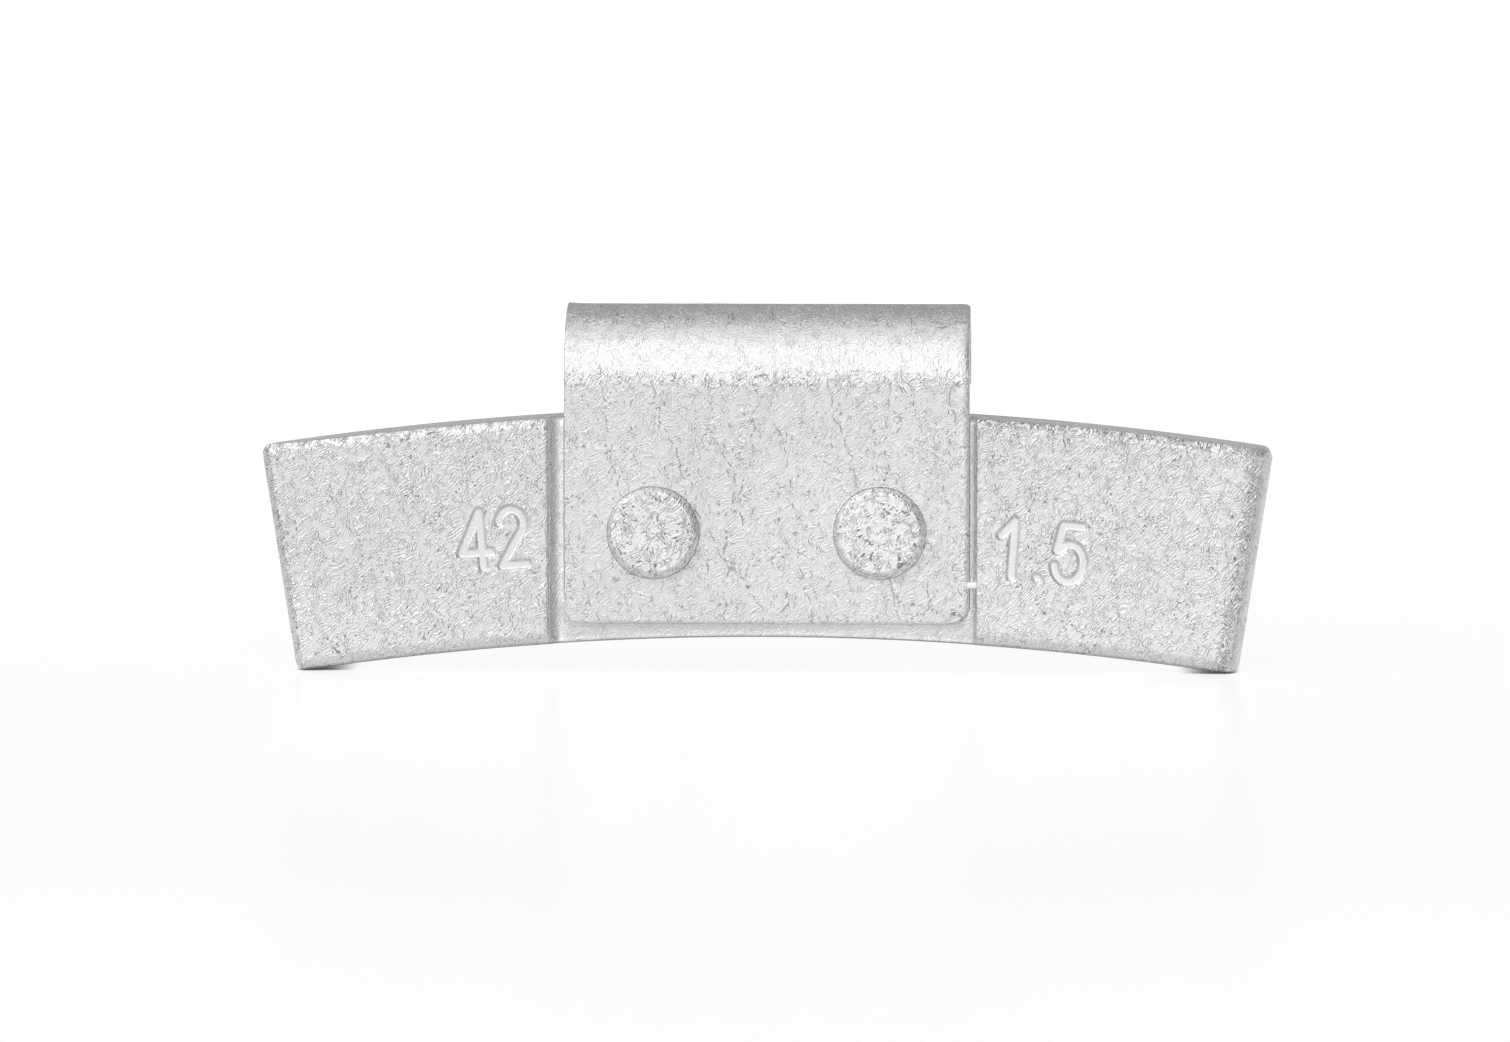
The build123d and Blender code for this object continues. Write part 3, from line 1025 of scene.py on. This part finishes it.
def studio_floor():
    """Pale floor that shows white, with a faint painted shade where it glows a little less in a band along
    the object, and a painted contact shadow where the object touches it."""
    size = FLOOR_SIZE
    floor = plane("floor", [(-size, -size, 0), (size, -size, 0), (size, size, 0), (-size, size, 0)])
    tree = Tree("pale_floor")
    place = tree.add("ShaderNodeTexCoord", {}, "Object")
    depth = tree.add("ShaderNodeSeparateXYZ", {"Vector": place}, "Y")
    open_air = tree.add("ShaderNodeAmbientOcclusion", {"Distance": CONTACT_REACH}, "AO")
    lift = tree.product(
        seen_rays(tree),
        # faint painted shade: less glow in a band along the object
        tree.ramp(tree.math("ABSOLUTE", depth), *LIFT_LIMITS, FLOOR_LIFT, BACKDROP_LIFT),
        # painted contact shadow: the glow fades where the object is close
        tree.ramp(open_air, *CONTACT_LIMITS, CONTACT_SHADE, 1.0),
    )
    tree.set(tree.shader.inputs["Base Color"], (FLOOR_TONE, FLOOR_TONE, FLOOR_TONE, 1))
    tree.set(tree.shader.inputs["Roughness"], FLOOR_ROUGHNESS)
    tree.set(tree.shader.inputs["Specular IOR Level"], FLOOR_GLOSS)
    tree.set(tree.shader.inputs["Emission Color"], (1, 1, 1, 1))
    tree.set(tree.shader.inputs["Emission Strength"], lift)
    floor.data.materials.append(tree.material)


def grey_card(name, corners, level):
    """Plain card out of view that the metal reflects."""
    card = plane(name, corners)
    material = bpy.data.materials.new(name)
    material.use_nodes = True
    tree = material.node_tree
    tree.nodes.remove(tree.nodes["Principled BSDF"])
    glow = tree.nodes.new("ShaderNodeEmission")
    glow.inputs["Color"].default_value = (level, level, level, 1)
    tree.links.new(glow.outputs[0], tree.nodes["Material Output"].inputs["Surface"])
    card.data.materials.append(material)


def standing_card(name, ends, level):
    """Grey card that stands on the floor between two places."""
    (ax, ay), (bx, by) = ends
    corners = [(ax, ay, 0), (bx, by, 0), (bx, by, CARD_HEIGHT), (ax, ay, CARD_HEIGHT)]
    grey_card(name, corners, level)


def softbox(name, place, size, level):
    """Rectangular lamp that faces the object and looks as bright as its level."""
    lamp = bpy.data.lights.new(name, "AREA")
    lamp.shape = "RECTANGLE"
    lamp.size, lamp.size_y = size
    lamp.energy = level * math.pi * size[0] * size[1]
    box = bpy.data.objects.new(name, lamp)
    box.location = place
    box.rotation_euler = (-Vector(place)).to_track_quat("-Z", "Y").to_euler()
    bpy.context.scene.collection.objects.link(box)


def camera():
    lens = bpy.data.cameras.new("camera")
    lens.sensor_fit = "HORIZONTAL"
    lens.sensor_width = SENSOR_WIDTH
    lens.lens = FOCAL_PIXELS / PHOTO_WIDTH * SENSOR_WIDTH
    lens.clip_start = NEAREST_VIEW * MM
    eye = bpy.data.objects.new("camera", lens)
    a, e = math.radians(CAMERA_AZIMUTH), math.radians(CAMERA_ELEVATION)
    back = Vector((math.sin(a) * math.cos(e), -math.cos(a) * math.cos(e), math.sin(e)))
    eye.location = (Vector(CAMERA_TARGET) + back * CAMERA_DISTANCE) * MM
    eye.rotation_euler = (-back).to_track_quat("-Z", "Y").to_euler()
    bpy.context.scene.collection.objects.link(eye)
    bpy.context.scene.camera = eye


body = weight_body()
clip = rim_clip()
left_rivet = rivet("rivet_left", rivet_places[0], seed=11.0)
right_rivet = rivet("rivet_right", rivet_places[1], seed=29.0)
bridge = coat_bridge()
fillet = foot_fillet()

mark_body(body)
mark_clip(clip)
store_marks(left_rivet, texture=1.0, painted_shade=0.0)
store_marks(right_rivet, texture=1.0, painted_shade=0.0)
# The bridge gets a painted highlight, stored as negative painted shade
store_marks(bridge, texture=0.0, painted_shade=-BRIDGE_PAINTED_HIGHLIGHT)
store_marks(fillet, texture=FILLET_TEXTURE, painted_shade=0.0)

# The stroke amount is a painted highlight on the strokes of the body and clip, and darkens the strokes on
# the rivets
body_coat = zinc_coat(
    "body_zinc_coat", BODY_TONE, seed=0.0, relief=0.074, strands=1.6, worms=1.0, stroke_painted_light=0.08, cell=0.5,
    lines=0.5, scratches=0.2, specks=0.85, crowding=-0.03
)
clip_coat = zinc_coat(
    "clip_zinc_coat", CLIP_TONE, seed=40.0, relief=0.054, strands=1.8, worms=0.8, stroke_painted_light=0.06, cell=0.5,
    lines=0.8, scratches=1.0, specks=0.7, crowding=0.0
)
rivet_coat = zinc_coat(
    "rivet_zinc_coat", RIVET_TONE, seed=80.0, relief=0.068, strands=1.8, worms=1.2, stroke_painted_light=-0.07, cell=1.1,
    lines=0.9, scratches=0.0, specks=1.0, crowding=0.1
)

for piece, node, coat, slot in (
    (body, "weight_body", body_coat, "body_coat"),
    (left_rivet, "weight_body", rivet_coat, "body_coat"),
    (right_rivet, "weight_body", rivet_coat, "body_coat"),
    (bridge, "weight_body", body_coat, "body_coat"),
    (fillet, "weight_body", body_coat, "body_coat"),
    (clip, "rim_clip", clip_coat, "clip_coat"),
):
    piece.data.materials.clear()
    piece.data.materials.append(coat)
    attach(piece, "root")
    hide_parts(node)

studio_world()
studio_floor()
grey_card("ceiling_card", CEILING_CARD, CEILING_LEVEL)
standing_card("right_card", RIGHT_CARD, RIGHT_LEVEL)
standing_card("left_card", LEFT_CARD, LEFT_LEVEL)
softbox("key", *KEY_LAMP)
softbox("top", *TOP_LAMP)
softbox("fill", *FILL_LAMP)
camera()

scene = bpy.context.scene
scene.view_settings.view_transform = "Standard"
